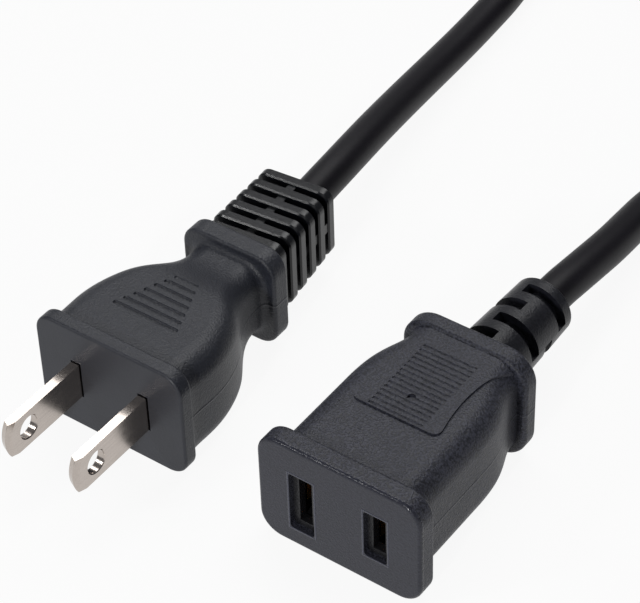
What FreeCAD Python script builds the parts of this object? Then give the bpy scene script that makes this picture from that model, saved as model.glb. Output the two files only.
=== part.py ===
import FreeCAD, Part
import math
import os
import re
import Sketcher
from FreeCAD import Placement, Rotation, Vector

# A short moulded extension lead: a two-blade plug, its round cord and a two-slot connector.
# The plug is the object. It lies flat, its blades point along -Y and its cord leaves along +Y.
# Each moulding is drawn in a frame of its own: X across, Y back from its contact face, and Z up
# from the plane in which its mould parts.

# Driving sizes, in millimetres, degrees or a plain count
SIZES = {
    # Plug face flange
    "flange_width": 27.4,
    "flange_height": 19.8,
    "flange_corner": 3.4,
    "flange_depth": 2.6,
    "flange_edge": 0.45,
    # Plug grip, from the flange to the neck
    "grip_width": 26.2,
    "grip_height": 18.2,
    "grip_corner": 3.9,
    "grip_top_slope": 0.04,
    "shoulder_start": 8.3,
    "shoulder_end": 17.7,
    "shoulder_radius": 20.0,
    "waist_start": 22.3,
    "waist_side_radius": 12.0,
    "waist_top_radius": 16.0,
    "neck_station": 27.5,
    "neck_width": 13.3,
    "neck_height": 13.4,
    "neck_fillet": 1.2,
    # Finger grooves across the grip's top
    "ridge_count": 7,
    "ridge_first": 9.3,
    "ridge_pitch": 1.65,
    "ridge_half_length": 6.1,
    "ridge_step": 0.64,
    "ridge_depth": 0.35,
    "ridge_round": 0.45,
    # Plug rear collar
    "collar_front": 29.2,
    "collar_depth": 3.5,
    "collar_width": 17.6,
    "collar_height": 17.3,
    "collar_corner": 3.5,
    "collar_edge": 0.6,
    # Strain relief, measured along its own leaning axis from the jacket's cut end
    "jacket_start": 28.0,
    "lean": 5.2,
    "relief_width": 14.2,
    "relief_height": 13.8,
    "relief_end_width": 13.2,
    "relief_end_height": 13.0,
    "relief_corner": 2.0,
    "relief_root_start": 2.0,
    "relief_root_end": 6.9,
    "bar_count": 5,
    "bar_first": 8.3,
    "bar_pitch": 3.1,
    "bar_thickness": 1.75,
    "bar_edge": 0.25,
    "spine_width": 1.4,
    "spine_height": 12.0,
    "side_spine_height": 1.8,
    "side_spine_inset": 0.3,
    "relief_core": 8.6,
    # Blades
    "blade_spacing": 12.7,
    "blade_thickness": 1.5,
    "blade_width": 6.35,
    "blade_reach": 16.7,
    "blade_tip_rise": 0.95,
    "blade_bevel_side": 0.45,
    "blade_bevel_back": 1.0,
    "blade_hole": 3.8,
    "blade_hole_from_face": 11.85,
    "blade_hole_bevel": 0.15,
    "blade_gap": 0.2,
    "blade_gap_depth": 0.6,
    # Bridge, crimps and conductors inside the plug
    "bridge_front": 3.0,
    "bridge_depth": 6.6,
    "bridge_width": 19.0,
    "bridge_height": 9.0,
    "bridge_corner": 1.5,
    "tongue_height": 4.2,
    "crimp_length": 6.0,
    "crimp_diameter": 3.4,
    "crimp_floor": 0.4,
    "wire_diameter": 2.0,
    "wire_bare": 1.0,
    "core_diameter": 2.6,
    "core_straight": 2.4,
    "core_merge": 3.0,
    "core_spacing": 3.0,
    # Connector place and face flange
    "connector_right": 42.3,
    "connector_back": -18.6,
    "rim_width": 28.0,
    "rim_height": 19.5,
    "rim_corner": 3.8,
    "rim_depth": 3.5,
    "rim_edge": 0.6,
    # Connector grip
    "hull_width": 23.8,
    "hull_height": 17.7,
    "hull_corner": 4.0,
    "hull_shoulder_start": 19.5,
    "hull_shoulder_end": 28.5,
    "hull_shoulder_radius": 22.0,
    "throat_width": 18.8,
    # Raised panel and its fine grooves
    "panel_rise": 0.35,
    "panel_front": 13.9,
    "panel_front_width": 15.4,
    "panel_corner": 1.2,
    "panel_waist_station": 22.3,
    "panel_waist_width": 13.2,
    "panel_end_width": 17.2,
    "rib_count": 15,
    "rib_first": 14.4,
    "rib_pitch": 1.0,
    "rib_half_length": 4.6,
    "rib_depth": 0.2,
    "rib_round": 0.25,
    "gate_mark": 1.4,
    "gate_mark_station": 18.4,
    "gate_mark_depth": 0.45,
    # Connector rear collar and boot
    "ring_front": 32.0,
    "ring_depth": 3.1,
    "ring_width": 21.8,
    "ring_height": 19.3,
    "ring_corner": 4.9,
    "ring_edge": 0.7,
    "boot_root": 11.5,
    "boot_tip": 10.1,
    "boot_end": 54.5,
    "boot_lip": 0.3,
    "boot_core": 7.4,
    "notch_count": 4,
    "notch_width": 2.1,
    "notch_first": 38.35,
    "notch_pitch": 4.0,
    "notch_sweep": 108.0,
    "notch_other_start": 82.0,
    "notch_other_sweep": 98.0,
    # Windows in the connector's face and slots in its inner housing
    "window_left_width": 4.2,
    "window_left_height": 10.8,
    "window_left_drop": 0.95,
    "window_right_width": 3.9,
    "window_right_height": 8.7,
    "window_corner": 0.5,
    "window_depth": 1.1,
    "slot_left_width": 2.2,
    "slot_left_height": 8.8,
    "slot_left_drop": 0.9,
    "slot_right_width": 2.1,
    "slot_right_height": 6.8,
    # Inner housing, spring clips and conductors inside the connector
    "housing_width": 20.6,
    "housing_height": 13.4,
    "housing_corner": 2.0,
    "housing_depth": 16.4,
    "housing_wall": 1.4,
    "cavity_width": 4.6,
    "cavity_height": 10.8,
    "clip_height": 6.0,
    "clip_sheet": 0.45,
    "clip_setback": 0.6,
    "clip_flare": 1.3,
    "clip_pinch": 1.1,
    "clip_pinch_back": 3.0,
    "clip_open": 2.6,
    "clip_open_back": 6.4,
    "clip_length": 11.4,
    "clip_tongue": 0.9,
    "clip_tongue_height": 3.4,
    "clip_crimp_length": 4.0,
    "jacket_start_connector": 31.0,
    # Cord and its coil
    "cord_diameter": 6.2,
    "coil_right": 28.0,
    "coil_back": 172.9,
    "coil_outer_turn": 46.9,
    "coil_inner_turn": 24.9,
    "coil_layers": 2,
    "coil_corner": 1.8,
    "stub_length": 26.0,
    "stub_drop": 3.1,
    "stub_inset": 0.2,
    "tie_width": 8.0,
    "tie_thickness": 0.8,
}

# The cord's route, chosen by hand from the photographed stretch and led on to the coil
ROUTE_FROM_PLUG = [
    (-2.542, 38.8, 9.9),
    (-3.08, 44.8, 9.75),
    (-3.88, 51.0, 9.3),
    (-4.9, 57.6, 8.5),
    (-6.0, 64.7, 7.45),
    (-7.1, 72.0, 6.3),
    (-8.15, 79.4, 5.15),
    (-9.05, 86.8, 4.2),
    (-9.8, 94.0, 3.55),
    (-10.5, 101.1, 3.2),
    (-11.1, 108.4, 3.1),
    (-12.3, 115.8, 3.1),
    (-14.2, 123.1, 3.15),
    (-16.5, 130.1, 3.45),
    (-18.1, 136.35, 3.85),
    (-18.7, 141.9, 4.1),
]
ROUTE_FROM_CONNECTOR = [
    (42.3, 39.6, 9.75),
    (42.5, 44.2, 9.35),
    (42.5, 49.6, 8.55),
    (42.4, 55.6, 7.5),
    (41.8, 62.2, 6.15),
    (41.3, 69.3, 4.9),
    (41.7, 76.65, 3.95),
    (43.2, 83.85, 3.35),
    (46.0, 90.65, 3.1),
    (49.65, 97.05, 3.1),
    (54.1, 102.9, 3.1),
    (58.9, 108.45, 3.1),
    (63.65, 114.1, 3.2),
    (67.9, 120.1, 3.55),
    (71.3, 126.65, 4.25),
    (73.65, 133.6, 5.2),
    (74.7, 140.9, 6.085),
]

doc = FreeCAD.newDocument("extension_lead")
sheet = doc.addObject("Spreadsheet::Sheet", "Sizes")
for row, (word, number) in enumerate(SIZES.items(), start=1):
    sheet.set(f"A{row}", word)
    sheet.set(f"B{row}", str(number))
    sheet.setAlias(f"B{row}", word)
doc.recompute()


def formula(text):
    """Put the sheet's name before each of its words in an expression."""
    def full(found):
        return "Sizes." + found.group() if found.group() in SIZES else found.group()
    return re.sub(r"[a-z_]+", full, text)


def value(text):
    """The number that an expression of the sheet's words comes to."""
    return float(sheet.evalExpression(formula(text)))


def bind(item, path, text):
    item.setExpression(path, formula(text))


# Places that several pieces share, as expressions of the sheet's words
RELIEF_REACH = "(bar_first + (bar_count - 1) * bar_pitch + bar_thickness)"
PLUG_REAR = f"(jacket_start + {RELIEF_REACH} * cos(lean) + relief_end_width / 2 * sin(lean))"
PLUG_BACK = f"(blade_reach - {PLUG_REAR}) / 2"
PLUG_UP = "flange_height / 2"
CONNECTOR_UP = "rim_height / 2"
CRIMP_START = "(bridge_front + bridge_depth)"
CRIMP_END = "(bridge_front + bridge_depth + crimp_length)"
HOUSING_END = "(window_depth + housing_depth)"
CLIP_CRIMP_END = "(window_depth + housing_depth + clip_crimp_length)"
COIL_WIDTH = "(coil_outer_turn - coil_inner_turn + cord_diameter)"
COIL_MIDDLE = "(coil_outer_turn + coil_inner_turn) / 2"
COIL_HEIGHT = "(cord_diameter * coil_layers)"
FIRST_LAYER = "(tie_thickness + cord_diameter / 2 + stub_inset)"
LAST_LAYER = "(tie_thickness + cord_diameter * (coil_layers - 0.5) - stub_inset)"

# Cross sections are drawn at these shares of a curved stretch
SHOULDER_SHARES = ("0", "1 / 3", "2 / 3", "1")
WAIST_SHARES = ("0", "1 / 2", "1")
# A cord path's arcs take this share of the shorter of the two runs that they join
ARC_SHARE = 0.45
ALONG_BACK = Rotation(Vector(1, 0, 0), -90)
# How near two places count as one
CLOSE = 1e-4


def new_body(name):
    return doc.addObject("PartDesign::Body", name)


def place(item, right, back, up):
    """Put a piece at its place in the part's frame."""
    bind(item, "Placement.Base.x", right)
    bind(item, "Placement.Base.y", back)
    bind(item, "Placement.Base.z", up)


def place_in_plug(item, right="0", back="0", up="0"):
    place(item, right, f"{PLUG_BACK} + {back}", f"{PLUG_UP} + {up}")


def place_in_connector(item, right="0", back="0", up="0"):
    place(item, f"connector_right + {right}", f"connector_back + {back}", f"{CONNECTOR_UP} + {up}")


# Sketches

def sketch_on(body, name, plane, offset="0"):
    """A sketch on one of the body's own origin planes, moved along that plane's normal."""
    sketch = body.newObject("Sketcher::SketchObject", name)
    support = next(item for item in body.Origin.OriginFeatures if item.Role == plane + "_Plane")
    sketch.AttachmentSupport = [(support, "")]
    sketch.MapMode = "FlatFace"
    bind(sketch, "AttachmentOffset.Base.z", offset)
    return sketch


def cross_section(body, name, station):
    """A sketch across the moulding, at a distance back from its face."""
    return sketch_on(body, name, "XZ", f"-({station})")


def fix_point(sketch, line, end, right, up):
    """Hold one end of a line at a place given by two expressions."""
    for kind, text in (("DistanceX", right), ("DistanceY", up)):
        index = sketch.addConstraint(Sketcher.Constraint(kind, -1, 1, line, end, value(text)))
        bind(sketch, f"Constraints[{index}]", text)


def outline(sketch, corners, closed=True):
    """Straight lines through corners that are each held by two expressions."""
    spots = [Vector(value(right), value(up), 0) for right, up in corners]
    count = len(spots) if closed else len(spots) - 1
    for index in range(count):
        sketch.addGeometry(Part.LineSegment(spots[index], spots[(index + 1) % len(spots)]))
    for index in range(count - 1):
        sketch.addConstraint(Sketcher.Constraint("Coincident", index, 2, index + 1, 1))
    if closed:
        sketch.addConstraint(Sketcher.Constraint("Coincident", count - 1, 2, 0, 1))
    for index in range(count):
        fix_point(sketch, index, 1, *corners[index])
    if not closed:
        fix_point(sketch, count - 1, 2, *corners[-1])


def rectangle(sketch, width, height, right="0", up="0"):
    low = f"({right}) - ({width}) / 2"
    high = f"({right}) + ({width}) / 2"
    bottom = f"({up}) - ({height}) / 2"
    top = f"({up}) + ({height}) / 2"
    outline(sketch, [(low, bottom), (high, bottom), (high, top), (low, top)])


def cut_rectangle(sketch, width, height, cut, right, up):
    """A rectangle with its four corners cut straight across."""
    corners = []
    for x, y, along in ((1, -1, "y"), (1, 1, "x"), (-1, 1, "y"), (-1, -1, "x")):
        spots = []
        for cut_x, cut_y in ((0, 1), (1, 0)) if along == "x" else ((1, 0), (0, 1)):
            spots.append((f"({right}) + {x} * (({width}) / 2 - {cut_x} * ({cut}))",
                          f"({up}) + {y} * (({height}) / 2 - {cut_y} * ({cut}))"))
        corners += spots
    outline(sketch, corners)


def circle(sketch, diameter, right="0", up="0"):
    spot = Vector(value(right), value(up), 0)
    index = sketch.addGeometry(Part.Circle(spot, Vector(0, 0, 1), value(diameter) / 2))
    fix_point(sketch, index, 3, right, up)
    size = sketch.addConstraint(Sketcher.Constraint("Diameter", index, value(diameter)))
    bind(sketch, f"Constraints[{size}]", diameter)


def rounded_rectangle(sketch, width, height, corner, right="0", up="0"):
    """Four sides and four corner arcs, every side tangent to its arcs."""
    radius = value(corner)
    half = Vector(value(width) / 2, value(height) / 2, 0)
    middle = Vector(value(right), value(up), 0)
    quarter = math.pi / 2
    signs = [(1, -1), (1, 1), (-1, 1), (-1, -1)]
    centres = [middle + Vector(x * (half.x - radius), y * (half.y - radius), 0) for x, y in signs]
    starts = [Rotation(Vector(0, 0, 1), 90 * k).multVec(Vector(0, -radius, 0)) for k in range(4)]
    first = sketch.GeometryCount
    for k in range(4):
        before = centres[k - 1] + starts[k]
        sketch.addGeometry(Part.LineSegment(before, centres[k] + starts[k]))
        ring = Part.Circle(centres[k], Vector(0, 0, 1), radius)
        sketch.addGeometry(Part.ArcOfCircle(ring, quarter * (k - 1), quarter * k))
    for k in range(8):
        joined = Sketcher.Constraint("Tangent", first + k, 2, first + (k + 1) % 8, 1)
        sketch.addConstraint(joined)
    for k in (0, 4):
        sketch.addConstraint(Sketcher.Constraint("Horizontal", first + k))
        sketch.addConstraint(Sketcher.Constraint("Vertical", first + k + 2))
    for k in (3, 5, 7):
        sketch.addConstraint(Sketcher.Constraint("Equal", first + 1, first + k))
    held = [
        (("Radius", first + 1), corner),
        (("DistanceX", first + 6, 1, first + 2, 1), width),
        (("DistanceY", first + 0, 1, first + 4, 1), height),
        (("DistanceX", -1, 1, first + 2, 1), f"({right}) + ({width}) / 2"),
        (("DistanceY", -1, 1, first + 4, 1), f"({up}) + ({height}) / 2"),
    ]
    for words, text in held:
        index = sketch.addConstraint(Sketcher.Constraint(*words, value(text)))
        bind(sketch, f"Constraints[{index}]", text)


# Features

def pad(body, name, sketch, length, symmetric=False, reverse=False):
    feature = body.newObject("PartDesign::Pad", name)
    feature.Profile = sketch
    bind(feature, "Length", length)
    feature.SideType = "Symmetric" if symmetric else "One side"
    feature.Reversed = reverse
    return feature


def pad_back(body, name, sketch, length):
    """A pad from a cross section towards the cord."""
    return pad(body, name, sketch, length, reverse=True)


def pocket(body, name, sketch, length, symmetric=False, reverse=False):
    feature = body.newObject("PartDesign::Pocket", name)
    feature.Profile = sketch
    bind(feature, "Length", length)
    feature.SideType = "Symmetric" if symmetric else "One side"
    feature.Reversed = reverse
    return feature


def edges_where(feature, test):
    """Names of a feature's edges that pass a test."""
    doc.recompute()
    return [f"Edge{index}" for index, edge in enumerate(feature.Shape.Edges, start=1) if test(edge)]


def edges_across(feature, station, test=lambda edge: True):
    """Names of a feature's edges that lie in the plane across it at a station."""
    level = value(station)

    def in_plane(edge):
        box = edge.BoundBox
        return abs(box.YMin - level) < CLOSE and abs(box.YMax - level) < CLOSE and test(edge)
    return edges_where(feature, in_plane)


def fillet(body, name, feature, edges, radius):
    round_edge = body.newObject("PartDesign::Fillet", name)
    round_edge.Base = (feature, edges)
    bind(round_edge, "Radius", radius)
    return round_edge


def chamfer(body, name, feature, edges, size):
    bevel = body.newObject("PartDesign::Chamfer", name)
    bevel.Base = (feature, edges)
    bind(bevel, "Size", size)
    return bevel


def slab(body, name, front, depth, width, height, corner, edge):
    """A rounded slab across the moulding, with both of its rims eased."""
    sketch = cross_section(body, name + "_outline", front)
    rounded_rectangle(sketch, width, height, corner)
    block = pad_back(body, name, sketch, depth)
    rims = edges_across(block, front) + edges_across(block, f"{front} + {depth}")
    return fillet(body, name + "_rims", block, rims, edge)


def loft(body, name, sections, corner, margin="0"):
    """A smooth skin through rounded sections: (station, width, height) each."""
    sketches = []
    for index, (station, width, height) in enumerate(sections):
        sketch = cross_section(body, f"{name}_section_{index}", station)
        rounded_rectangle(sketch, f"{width} + 2 * {margin}", f"{height} + 2 * {margin}",
                          f"{corner} + {margin}")
        sketches.append(sketch)
    skin = body.newObject("PartDesign::AdditiveLoft", name)
    skin.Profile = sketches[0]
    skin.Sections = sketches[1:]
    return skin


def round_groove(body, name, station, level, half_length, radius):
    """A straight groove across the top with a round bottom and ball ends."""
    sketch = sketch_on(body, name + "_outline", "XY", level)
    bind(sketch, "AttachmentOffset.Base.y", station)
    reach = value(half_length)
    ball = value(radius)
    axis = Part.LineSegment(Vector(-reach - ball, 0, 0), Vector(reach + ball, 0, 0))
    ring_right = Part.Circle(Vector(reach, 0, 0), Vector(0, 0, 1), ball)
    ring_left = Part.Circle(Vector(-reach, 0, 0), Vector(0, 0, 1), ball)
    sketch.addGeometry(axis)
    sketch.addGeometry(Part.ArcOfCircle(ring_right, 0, math.pi / 2))
    sketch.addGeometry(Part.LineSegment(Vector(reach, ball, 0), Vector(-reach, ball, 0)))
    sketch.addGeometry(Part.ArcOfCircle(ring_left, math.pi / 2, math.pi))
    for line in range(4):
        sketch.addConstraint(Sketcher.Constraint("Coincident", line, 2, (line + 1) % 4, 1))
    for arc, along in ((1, half_length), (3, f"-({half_length})")):
        fix_point(sketch, arc, 3, along, "0")
    sketch.addConstraint(Sketcher.Constraint("Horizontal", 2))
    sketch.addConstraint(Sketcher.Constraint("Vertical", 1, 2, 1, 3))
    sketch.addConstraint(Sketcher.Constraint("Vertical", 3, 1, 3, 3))
    sketch.addConstraint(Sketcher.Constraint("PointOnObject", 0, 1, -1))
    sketch.addConstraint(Sketcher.Constraint("PointOnObject", 0, 2, -1))
    size = sketch.addConstraint(Sketcher.Constraint("Radius", 1, ball))
    bind(sketch, f"Constraints[{size}]", radius)
    feature = body.newObject("PartDesign::Groove", name)
    feature.Profile = sketch
    feature.ReferenceAxis = (sketch, ["H_Axis"])
    feature.Angle = 360
    return feature


def axis_of(body, name):
    return next(item for item in body.Origin.OriginFeatures if item.Role == name + "_Axis")


def rod(name, diameter, length):
    """A round bar along Y."""
    bar = doc.addObject("Part::Cylinder", name)
    bind(bar, "Radius", f"{diameter} / 2")
    bind(bar, "Height", length)
    bar.Placement = Placement(Vector(), ALONG_BACK)
    return bar


def joined(name, pieces):
    fused = doc.addObject("Part::MultiFuse", name)
    fused.Shapes = pieces
    return fused


def hollowed(name, solid, contents):
    """A moulding with the room that its contents take."""
    moulding = doc.addObject("Part::Cut", name)
    moulding.Base = solid
    moulding.Tool = joined(name + "_contents", contents)
    return moulding


# Cord paths

def rounded_path(points):
    """Straight runs joined by tangent arcs as wide as the runs allow, with their radii."""
    spots = [Vector(*point) for point in points]
    edges = []
    radii = []
    start = spots[0]
    for before, corner, after in zip(spots, spots[1:], spots[2:]):
        arrive = (corner - before).normalize()
        leave = (after - corner).normalize()
        turn = arrive.getAngle(leave)
        share = ARC_SHARE * min((corner - before).Length, (after - corner).Length)
        radius = share / math.tan(turn / 2)
        entry = corner - arrive * share
        way_out = corner + leave * share
        inward = (leave - arrive).normalize()
        middle = corner + inward * (radius / math.cos(turn / 2) - radius)
        edges.append(Part.LineSegment(start, entry).toShape())
        edges.append(Part.Arc(entry, middle, way_out).toShape())
        radii.append(radius)
        start = way_out
    edges.append(Part.LineSegment(start, spots[-1]).toShape())
    return Part.Wire(edges), radii


def tube(name, points, diameter):
    """A round solid along a path, with its volume held against its section times its length."""
    path, radii = rounded_path(points)
    first = Vector(*points[0])
    ahead = Vector(*points[1]) - first
    section = Part.Wire(Part.Circle(first, ahead, value(diameter) / 2).toShape())
    solid = path.makePipeShell([section], True, False)
    expected = path.Length * math.pi * (value(diameter) / 2) ** 2
    print(f"{name}: length {path.Length:.1f}, least radius {min(radii):.1f}, "
          f"volume ratio {solid.Volume / expected:.4f}")
    print("  radii " + " ".join(f"{radius:.0f}" for radius in radii))
    piece = doc.addObject("Part::Feature", name)
    piece.Shape = solid
    return piece


# Blades

def blade(name, side):
    """A stamped blade: bevelled round tip, hole, tongue through the bridge and crimp barrel."""
    body = new_body(name)
    half = "blade_width / 2"
    tongue = "tongue_height / 2"
    shoulder = "-(blade_reach - blade_tip_rise)"
    sketch = sketch_on(body, name + "_outline", "YZ")
    outline(sketch, [
        (shoulder, f"-({half})"), ("bridge_front", f"-({half})"),
        ("bridge_front", f"-({tongue})"), (CRIMP_START, f"-({tongue})"),
        (CRIMP_START, tongue), ("bridge_front", tongue),
        ("bridge_front", half), (shoulder, half),
    ], closed=False)
    tip_radius = "((blade_width / 2) ^ 2 + blade_tip_rise ^ 2) / (2 * blade_tip_rise)"
    radius = value(tip_radius)
    spread = math.asin(value(half) / radius)
    ring = Part.Circle(Vector(radius - value("blade_reach"), 0, 0), Vector(0, 0, 1), radius)
    arc = sketch.addGeometry(Part.ArcOfCircle(ring, math.pi - spread, math.pi + spread))
    sketch.addConstraint(Sketcher.Constraint("Coincident", arc - 1, 2, arc, 1))
    sketch.addConstraint(Sketcher.Constraint("Coincident", arc, 2, 0, 1))
    size = sketch.addConstraint(Sketcher.Constraint("Radius", arc, radius))
    bind(sketch, f"Constraints[{size}]", tip_radius)
    pad(body, name + "_stock", sketch, "blade_thickness", symmetric=True)
    barrel_sketch = cross_section(body, name + "_barrel_outline", CRIMP_START)
    circle(barrel_sketch, "crimp_diameter")
    pad_back(body, name + "_barrel", barrel_sketch, "crimp_length")
    bore_sketch = cross_section(body, name + "_bore_outline", f"{CRIMP_START} + crimp_floor")
    circle(bore_sketch, "wire_diameter")
    pocket(body, name + "_bore", bore_sketch, "crimp_length - crimp_floor")
    hole_sketch = sketch_on(body, name + "_hole_outline", "YZ")
    circle(hole_sketch, "blade_hole", "-blade_hole_from_face")
    hole = pocket(body, name + "_hole", hole_sketch, "2 * blade_thickness", symmetric=True)
    hole_radius = value("blade_hole") / 2

    def on_hole(edge):
        return edge.Curve.TypeId == "Part::GeomCircle" and abs(edge.Curve.Radius - hole_radius) < CLOSE

    def at_tip(edge):
        box = edge.BoundBox
        in_face = box.XLength < CLOSE and box.YMax < value(shoulder) + CLOSE
        return edge.Curve.TypeId == "Part::GeomCircle" and in_face

    hole_bevel = chamfer(body, name + "_hole_bevel", hole, edges_where(hole, on_hole), "blade_hole_bevel")
    tips = edges_where(hole_bevel, at_tip)
    tip = chamfer(body, name + "_tip_bevel", hole_bevel, tips, "blade_bevel_side")
    tip.ChamferType = "Two distances"
    bind(tip, "Size2", "blade_bevel_back")
    place_in_plug(body, f"{side} * blade_spacing / 2")
    return body


SIDES = {"left": -1, "right": 1}
plug_blades = [blade(f"plug_blade_{word}", side) for word, side in SIDES.items()]


# The bridge that spaces the blades

def inner_bridge():
    body = new_body("plug_inner_bridge")
    sketch = cross_section(body, "bridge_outline", "bridge_front")
    rounded_rectangle(sketch, "bridge_width", "bridge_height", "bridge_corner")
    pad_back(body, "bridge_block", sketch, "bridge_depth")
    for word, side in SIDES.items():
        opening = cross_section(body, f"bridge_slot_{word}_outline", "bridge_front")
        rectangle(opening, "blade_thickness", "tongue_height", f"{side} * blade_spacing / 2")
        pocket(body, f"bridge_slot_{word}", opening, "bridge_depth")
    place_in_plug(body)
    return body


plug_bridge = inner_bridge()


# Conductors in the plug

def leaned(right, along):
    """A point beside the leaning cord axis, in the part's frame."""
    turn = math.radians(value("lean"))
    x = right * math.cos(turn) - along * math.sin(turn)
    y = right * math.sin(turn) + along * math.cos(turn)
    return (x, value(PLUG_BACK) + value("jacket_start") + y, value(PLUG_UP))


def plug_conductor(word, side):
    wire = rod(f"plug_wire_{word}", "wire_diameter", "crimp_length - crimp_floor + wire_bare")
    place_in_plug(wire, f"{side} * blade_spacing / 2", f"{CRIMP_START} + crimp_floor")
    right = side * value("blade_spacing") / 2
    back = value(PLUG_BACK) + value(CRIMP_END) + value("wire_bare")
    beside = side * value("core_spacing") / 2
    core = tube(f"plug_core_{word}", [
        (right, back, value(PLUG_UP)),
        (right, back + value("core_straight"), value(PLUG_UP)),
        leaned(beside, -value("core_merge")),
        leaned(beside, 0.0),
    ], "core_diameter")
    return [wire, core]


plug_conductors = [piece for word, side in SIDES.items() for piece in plug_conductor(word, side)]


def along_relief(item):
    """Lean a piece with the relief, about the jacket's cut end."""
    lean = Rotation(Vector(0, 0, 1), value("lean"))
    item.Placement = Placement(Vector(), lean.multiply(item.Placement.Rotation))
    place_in_plug(item, "0", "jacket_start")


plug_cord_end = rod("lead_end_in_plug", "cord_diameter", RELIEF_REACH)
along_relief(plug_cord_end)


# Plug moulding

def plug_shoulder(station):
    """Width of the grip where its sides curve in behind the flange."""
    fall = f"shoulder_radius - sqrt(shoulder_radius ^ 2 - ({station} - shoulder_start) ^ 2)"
    return f"grip_width - 2 * ({fall})"


def plug_top(station):
    return f"grip_height - 2 * grip_top_slope * ({station} - flange_depth)"


def hollow_curve(station, size, radius):
    """A size that grows towards the front from its least value at the neck."""
    rise = f"{radius} - sqrt({radius} ^ 2 - (neck_station - ({station})) ^ 2)"
    return f"{size} + 2 * ({rise})"


def plug_grip_sections():
    sections = [("flange_depth", "grip_width", "grip_height")]
    for share in SHOULDER_SHARES:
        station = f"(shoulder_start + {share} * (shoulder_end - shoulder_start))"
        sections.append((station, plug_shoulder(station), plug_top(station)))
    for share in WAIST_SHARES:
        station = f"(waist_start + {share} * (neck_station - waist_start))"
        width = hollow_curve(station, "neck_width", "waist_side_radius")
        height = hollow_curve(station, "neck_height", "waist_top_radius")
        sections.append((station, width, height))
    sections.append(("collar_front", "neck_width", "neck_height"))
    return sections


def plug_moulding():
    body = new_body("plug_moulding")
    slab(body, "flange", "0", "flange_depth", "flange_width", "flange_height",
         "flange_corner", "flange_edge")
    slab(body, "collar", "collar_front", "collar_depth", "collar_width", "collar_height",
         "collar_corner", "collar_edge")
    skin = loft(body, "grip", plug_grip_sections(), "grip_corner")
    around_neck = edges_across(skin, "collar_front", inside("neck_width", "neck_height"))
    fillet(body, "neck_blend", skin, around_neck, "neck_fillet")
    for index in range(int(value("ridge_count"))):
        station = f"ridge_first + {index} * ridge_pitch"
        level = f"({plug_top(f'({station})')}) / 2 - ridge_depth + ridge_round"
        length = f"ridge_half_length - {index} * ridge_step - ridge_round"
        round_groove(body, f"ridge_{index}", station, level, length, "ridge_round")
    for word, side in SIDES.items():
        gap = cross_section(body, f"blade_gap_{word}_outline", "0")
        rectangle(gap, "blade_thickness + 2 * blade_gap", "blade_width + 2 * blade_gap",
                  f"{side} * blade_spacing / 2")
        pocket(body, f"blade_gap_{word}", gap, "blade_gap_depth")
    place_in_plug(body)
    return body


def inside(width, height):
    """A test for edges within a rounded section about the axis."""
    def test(edge):
        middle = edge.valueAt((edge.FirstParameter + edge.LastParameter) / 2)
        return (abs(middle.x) < value(width) / 2 + CLOSE
                and abs(middle.z) < value(height) / 2 + CLOSE)
    return test


def strain_relief():
    """A round core with spines along it and square bars across it, narrowing to its end."""
    body = new_body("plug_relief")
    span = f"{RELIEF_REACH} - relief_root_start"
    core = cross_section(body, "relief_core_outline", "relief_root_start")
    circle(core, "relief_core")
    pad_back(body, "relief_core", core, span)
    root = cross_section(body, "relief_root_outline", "relief_root_start")
    rounded_rectangle(root, "relief_width", "relief_height", "relief_corner")
    pad_back(body, "relief_root", root, "relief_root_end - relief_root_start")
    spine = cross_section(body, "relief_spine_outline", "relief_root_start")
    rectangle(spine, "spine_width", "spine_height")
    pad_back(body, "relief_spine", spine, span)
    side_spine = cross_section(body, "relief_side_spine_outline", "relief_root_start")
    rectangle(side_spine, "relief_end_width - 2 * side_spine_inset", "side_spine_height")
    pad_back(body, "relief_side_spine", side_spine, span)
    for index in range(int(value("bar_count"))):
        front = f"(bar_first + {index} * bar_pitch)"
        share = f"{index} / (bar_count - 1)"
        width = f"relief_width + (relief_end_width - relief_width) * {share}"
        height = f"relief_height + (relief_end_height - relief_height) * {share}"
        bar = cross_section(body, f"bar_{index}_outline", front)
        rounded_rectangle(bar, width, height, "relief_corner")
        block = pad_back(body, f"bar_{index}", bar, "bar_thickness")
        rim = on_rim(width, height, "relief_corner")
        rims = edges_across(block, front, rim)
        rims += edges_across(block, f"{front} + bar_thickness", rim)
        chamfer(body, f"bar_{index}_rims", block, rims, "bar_edge")
    along_relief(body)
    return body


def on_rim(width, height, corner):
    """A test for edges on the outline of a rounded rectangle about the axis."""
    def test(edge):
        middle = edge.valueAt((edge.FirstParameter + edge.LastParameter) / 2)
        if edge.Curve.TypeId == "Part::GeomCircle":
            return abs(edge.Curve.Radius - value(corner)) < CLOSE
        return (abs(abs(middle.x) - value(width) / 2) < CLOSE
                or abs(abs(middle.z) - value(height) / 2) < CLOSE)
    return test


plug_solid = joined("plug_solid", [plug_moulding(), strain_relief()])
plug_body = hollowed("plug_body", plug_solid,
                     plug_blades + [plug_bridge] + plug_conductors + [plug_cord_end])


# Connector inner housing and spring clips

SLOTS = {
    "left": ("slot_left_width", "slot_left_height", "-slot_left_drop"),
    "right": ("slot_right_width", "slot_right_height", "0"),
}
WINDOWS = {
    "left": ("window_left_width", "window_left_height", "-window_left_drop"),
    "right": ("window_right_width", "window_right_height", "0"),
}
CAVITY_DEPTH = "(housing_depth - 2 * housing_wall)"


def housing_block(name):
    body = new_body(name)
    sketch = cross_section(body, name + "_outline", "window_depth")
    rounded_rectangle(sketch, "housing_width", "housing_height", "housing_corner")
    pad_back(body, name + "_block", sketch, "housing_depth")
    place_in_connector(body)
    return body


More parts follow.
